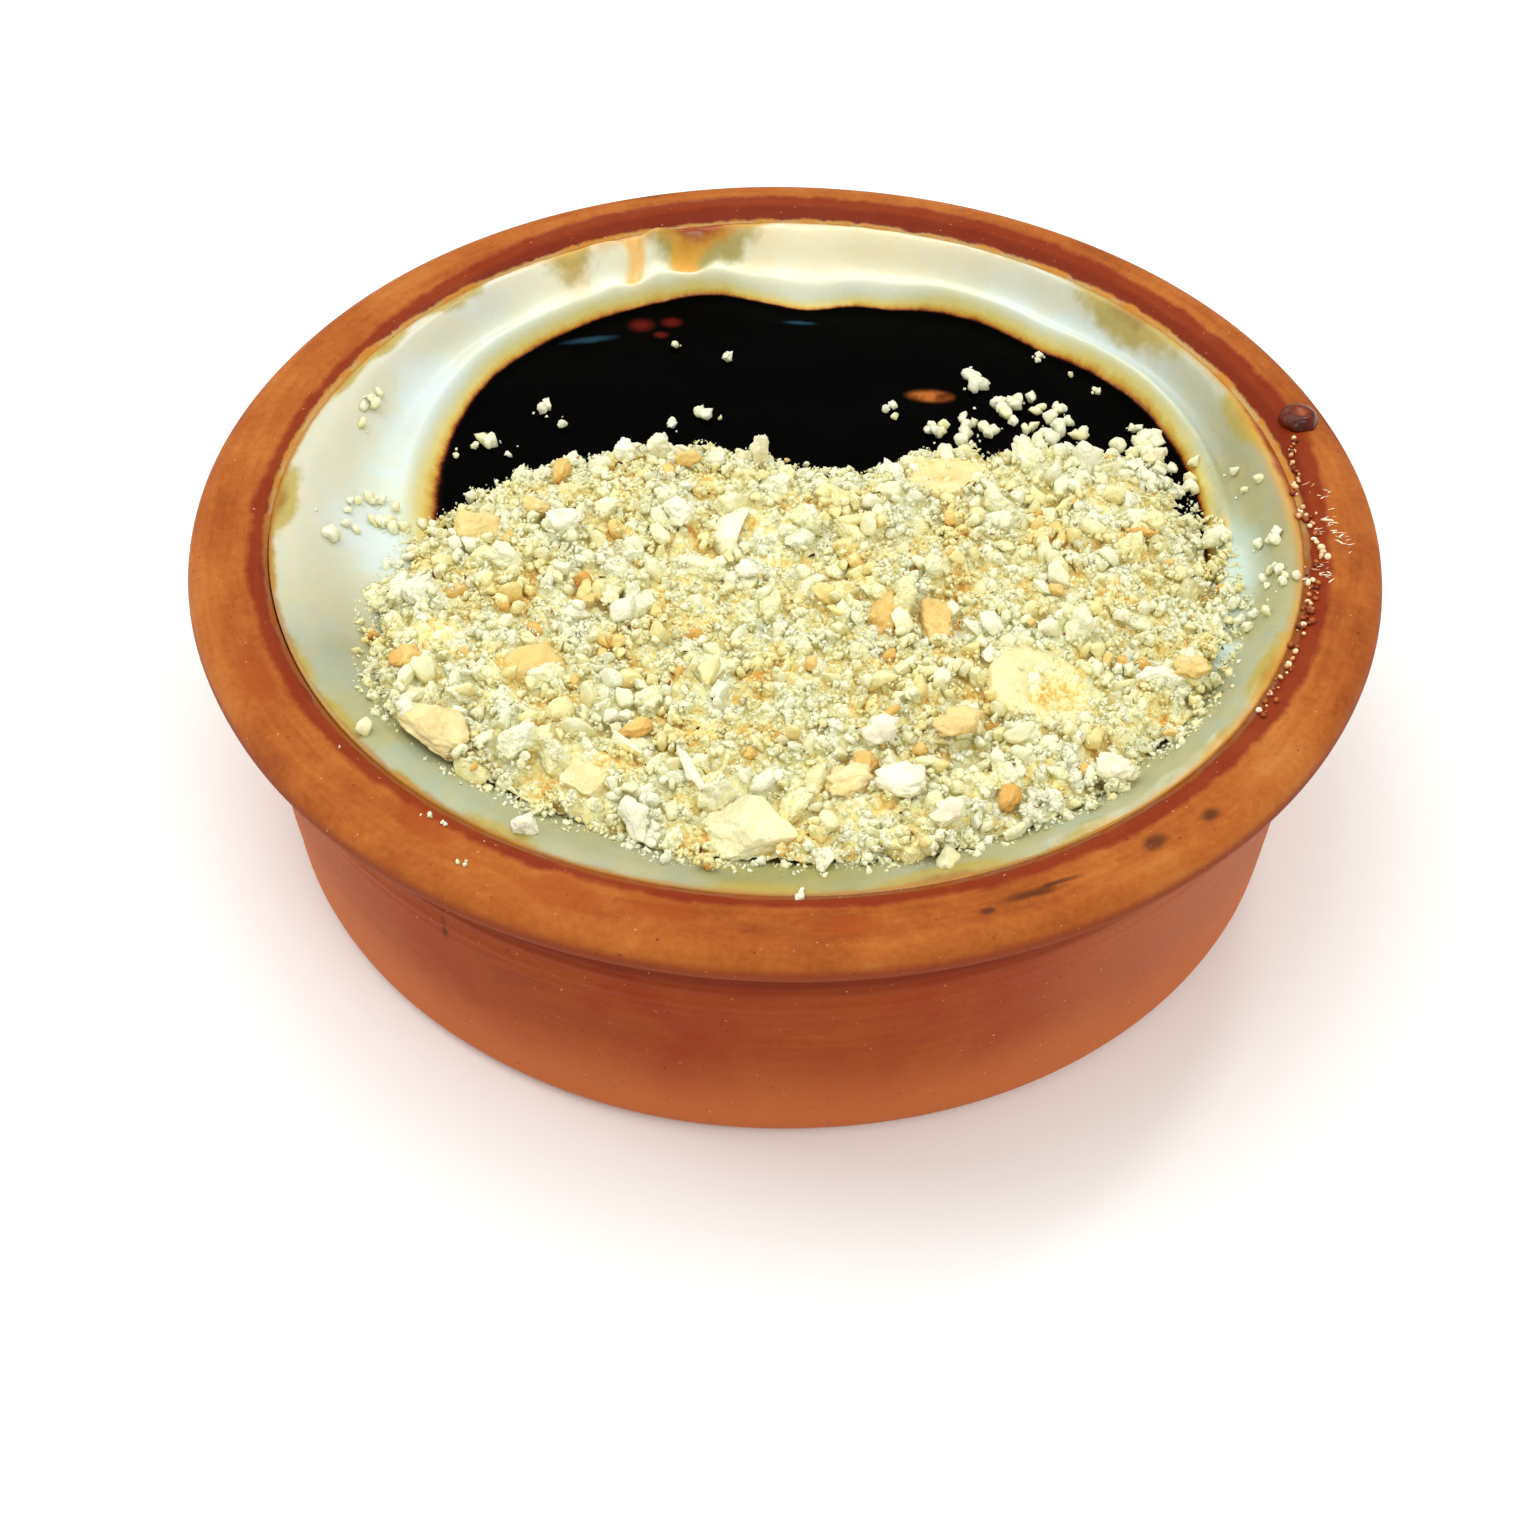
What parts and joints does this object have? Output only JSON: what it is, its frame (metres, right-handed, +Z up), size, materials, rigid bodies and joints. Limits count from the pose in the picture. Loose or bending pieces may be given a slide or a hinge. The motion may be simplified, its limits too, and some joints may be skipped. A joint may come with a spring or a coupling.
{
  "type": "baked rice pudding in dish",
  "caption": "Baked rice pudding in a shallow round clay dish with a thick rounded rim; burnt skin in the middle, crushed hazelnuts over the front.",
  "frame": {"origin": "centre of the dish's foot, on the surface it stands on", "axes": "+Z up out of the dish, -Y towards the nuts at the front, +X to the right seen from the front"},
  "size_m": [0.125, 0.125, 0.0378],
  "materials": {
    "clay": "orange-brown fired clay with a thin satin glaze, mottled, darker under the rim",
    "milk_skin": "moist glossy baked milk skin, cream with golden edges and a jet-black glossy burnt middle",
    "crushed_nuts": "dry matte crushed hazelnuts, pale cream with toasted bits",
    "nut_pieces": "smooth dry hazelnut kernels, cream to toasted tan"
  },
  "bodies": {
    "root": {"dish": "clay", "pudding": "milk_skin", "nut_heap": "crushed_nuts", "hazelnut_half_back": "nut_pieces", "hazelnut_half_right": "nut_pieces", "hazelnut_slab_front": "nut_pieces", "hazelnut_slab_left": "nut_pieces", "hazelnut_lump_left": "nut_pieces", "hazelnut_curl_left": "nut_pieces", "hazelnut_crescent": "nut_pieces", "hazelnut_toasted_1": "nut_pieces", "hazelnut_toasted_2": "nut_pieces", "hazelnut_chip_back": "nut_pieces", "hazelnut_chip_front": "nut_pieces"}
  },
  "joints": []
}
